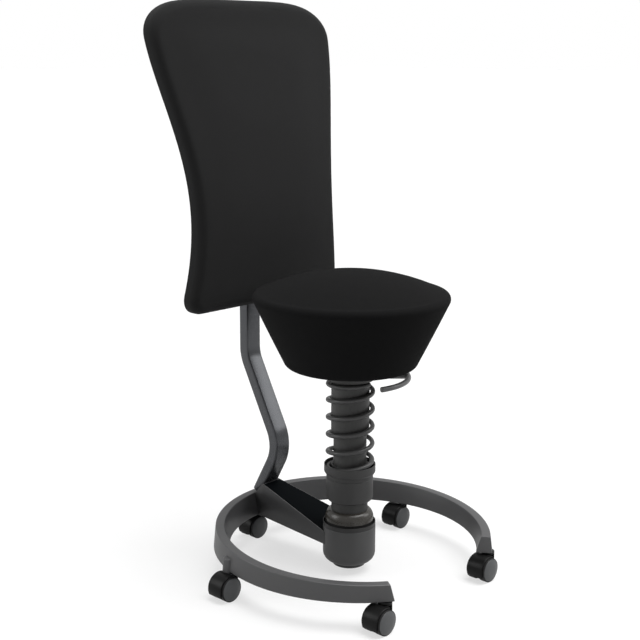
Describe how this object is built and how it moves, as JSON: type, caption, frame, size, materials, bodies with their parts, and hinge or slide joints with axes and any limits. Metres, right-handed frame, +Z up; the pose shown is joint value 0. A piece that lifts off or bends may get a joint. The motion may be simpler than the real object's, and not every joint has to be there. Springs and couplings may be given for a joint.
{
  "type": "spring balance stool",
  "caption": "Padded balance stool on a sprung, tilting column over a C-shaped castor base, with a bent bar that holds a tall curved backrest.",
  "frame": {"origin": "on the floor, on the column's axis", "axes": "+Z up, -Y the way the sitter faces, +X the sitter's left"},
  "size_m": [0.6031, 0.6109, 1.155],
  "materials": {
    "powder_coat": "anthracite powder coat, satin",
    "cast_alloy": "anthracite powder coat over light alloy",
    "black_cover": "matt black",
    "black_plastic": "black, fine grain",
    "grey_disc": "dark grey, satin",
    "rubber": "dark grey, matt",
    "steel": "bright steel",
    "spring_steel": "black coated spring steel",
    "bearing_plastic": "natural bearing plastic",
    "plywood": "plain plywood",
    "fabric": "black woven fabric over foam"
  },
  "bodies": {
    "base": {"base_ring": "cast_alloy", "base_arm": "powder_coat", "arm_cover": "black_cover", "hub_housing": "cast_alloy", "hub_ring": "black_plastic", "hub_cap": "black_plastic", "elastomer_seat": "rubber", "retaining_ring": "steel", "back_bar": "cast_alloy", "backrest_bracket": "steel", "backrest_shell": "black_plastic", "backrest_pad": "fabric"},
    "tilt_liner": {"socket_liner": "bearing_plastic"},
    "column": {"pivot_ball": "steel", "column_foot": "powder_coat", "rubber_collar": "rubber", "lower_tube": "powder_coat", "inner_guide_bush": "bearing_plastic"},
    "adjuster": {"adjuster_sleeve": "black_plastic"},
    "cup": {"spring_cup": "black_plastic", "coil_spring": "spring_steel"},
    "upper_column": {"upper_tube": "powder_coat", "upper_spring_plate": "powder_coat", "lower_guide_bush": "bearing_plastic", "top_guide_bush": "bearing_plastic", "gas_guide_tube": "steel", "thrust_bearing": "steel"},
    "swivel": {"gas_piston_rod": "steel"},
    "seat": {"gas_cylinder": "steel", "seat_mount": "steel", "lever_pivot_pin": "steel", "seat_board": "plywood", "seat_cushion": "fabric"},
    "lever": {"release_lever": "powder_coat"},
    "valve": {"valve_pin": "steel"},
    "castor_rear": {"castor_stem_rear": "steel", "castor_hood_rear": "black_plastic"},
    "castor_wheels_rear": {"castor_axle_rear": "steel", "castor_wheel_left_rear": "grey_disc", "castor_wheel_right_rear": "grey_disc"},
    "castor_right_side": {"castor_stem_right_side": "steel", "castor_hood_right_side": "black_plastic"},
    "castor_wheels_right_side": {"castor_axle_right_side": "steel", "castor_wheel_left_right_side": "grey_disc", "castor_wheel_right_right_side": "grey_disc"},
    "castor_right_front": {"castor_stem_right_front": "steel", "castor_hood_right_front": "black_plastic"},
    "castor_wheels_right_front": {"castor_axle_right_front": "steel", "castor_wheel_left_right_front": "grey_disc", "castor_wheel_right_right_front": "grey_disc"},
    "castor_left_front": {"castor_stem_left_front": "steel", "castor_hood_left_front": "black_plastic"},
    "castor_wheels_left_front": {"castor_axle_left_front": "steel", "castor_wheel_left_left_front": "grey_disc", "castor_wheel_right_left_front": "grey_disc"},
    "castor_left_side": {"castor_stem_left_side": "steel", "castor_hood_left_side": "black_plastic"},
    "castor_wheels_left_side": {"castor_axle_left_side": "steel", "castor_wheel_left_left_side": "grey_disc", "castor_wheel_right_left_side": "grey_disc"}
  },
  "joints": [
    {"name": "castor_swivel_rear", "type": "hinge", "parent": "base", "child": "castor_rear", "pos_m": [0, 0.2717, 0.055], "axis": [0, 0, 1], "continuous": true},
    {"name": "castor_roll_rear", "type": "hinge", "parent": "castor_rear", "child": "castor_wheels_rear", "pos_m": [-0.018, 0.2717, 0.02511], "axis": [0, 1, 0], "continuous": true},
    {"name": "castor_swivel_right_side", "type": "hinge", "parent": "base", "child": "castor_right_side", "pos_m": [-0.26725, 0.07753, 0.055], "axis": [0, 0, 1], "continuous": true},
    {"name": "castor_roll_right_side", "type": "hinge", "parent": "castor_right_side", "child": "castor_wheels_right_side", "pos_m": [-0.28525, 0.07753, 0.02511], "axis": [0, 1, 0], "continuous": true},
    {"name": "castor_swivel_right_front", "type": "hinge", "parent": "base", "child": "castor_right_front", "pos_m": [-0.16517, -0.23663, 0.055], "axis": [0, 0, 1], "continuous": true},
    {"name": "castor_roll_right_front", "type": "hinge", "parent": "castor_right_front", "child": "castor_wheels_right_front", "pos_m": [-0.18317, -0.23663, 0.02511], "axis": [0, 1, 0], "continuous": true},
    {"name": "castor_swivel_left_front", "type": "hinge", "parent": "base", "child": "castor_left_front", "pos_m": [0.16517, -0.23663, 0.055], "axis": [0, 0, 1], "continuous": true},
    {"name": "castor_roll_left_front", "type": "hinge", "parent": "castor_left_front", "child": "castor_wheels_left_front", "pos_m": [0.14717, -0.23663, 0.02511], "axis": [0, 1, 0], "continuous": true},
    {"name": "castor_swivel_left_side", "type": "hinge", "parent": "base", "child": "castor_left_side", "pos_m": [0.26725, 0.07753, 0.055], "axis": [0, 0, 1], "continuous": true},
    {"name": "castor_roll_left_side", "type": "hinge", "parent": "castor_left_side", "child": "castor_wheels_left_side", "pos_m": [0.24925, 0.07753, 0.02511], "axis": [0, 1, 0], "continuous": true},
    {"name": "tilt_side", "type": "hinge", "parent": "base", "child": "tilt_liner", "pos_m": [0, 0, 0.0955], "axis": [0, 1, 0], "range_deg": [-8, 8], "stiffness_Nm_per_rad": 250},
    {"name": "tilt_fore_aft", "type": "hinge", "parent": "tilt_liner", "child": "column", "pos_m": [0, 0, 0.0955], "axis": [1, 0, 0], "range_deg": [-3, 8], "stiffness_Nm_per_rad": 250},
    {"name": "adjuster_turn", "type": "hinge", "parent": "column", "child": "adjuster", "pos_m": [0, 0, 0.153], "axis": [0, 0, 1], "range_deg": [0, 720]},
    {"name": "spring_adjust", "type": "slide", "parent": "column", "child": "cup", "axis": [0, 0, 1], "range_m": [0, 0.01]},
    {"name": "seat_bounce", "type": "slide", "parent": "cup", "child": "upper_column", "axis": [0, 0, 1], "range_m": [-0.05, 0], "stiffness_N_per_m": 12000, "springref_m": 0.0115, "deforming": ["coil_spring"]},
    {"name": "seat_swivel", "type": "hinge", "parent": "upper_column", "child": "swivel", "pos_m": [0, 0, 0.2466], "axis": [0, 0, 1], "continuous": true},
    {"name": "seat_height", "type": "slide", "parent": "swivel", "child": "seat", "axis": [0, 0, 1], "range_m": [0, 0.13]},
    {"name": "lever_pull", "type": "hinge", "parent": "seat", "child": "lever", "pos_m": [0.01737, -0.01798, 0.4885], "axis": [-0.7193, -0.6947, 0], "range_deg": [0, 9], "stiffness_Nm_per_rad": 2, "springref_deg": -5.16},
    {"name": "valve_press", "type": "slide", "parent": "seat", "child": "valve", "axis": [0, 0, 1], "range_m": [-0.0048, 0]}
  ],
  "couplings": [
    {"joint": "adjuster_turn", "follows": "spring_adjust", "rad_per_m": 1256.6},
    {"joint": "valve_press", "follows": "lever_pull", "m_per_rad": -0.0295}
  ]
}
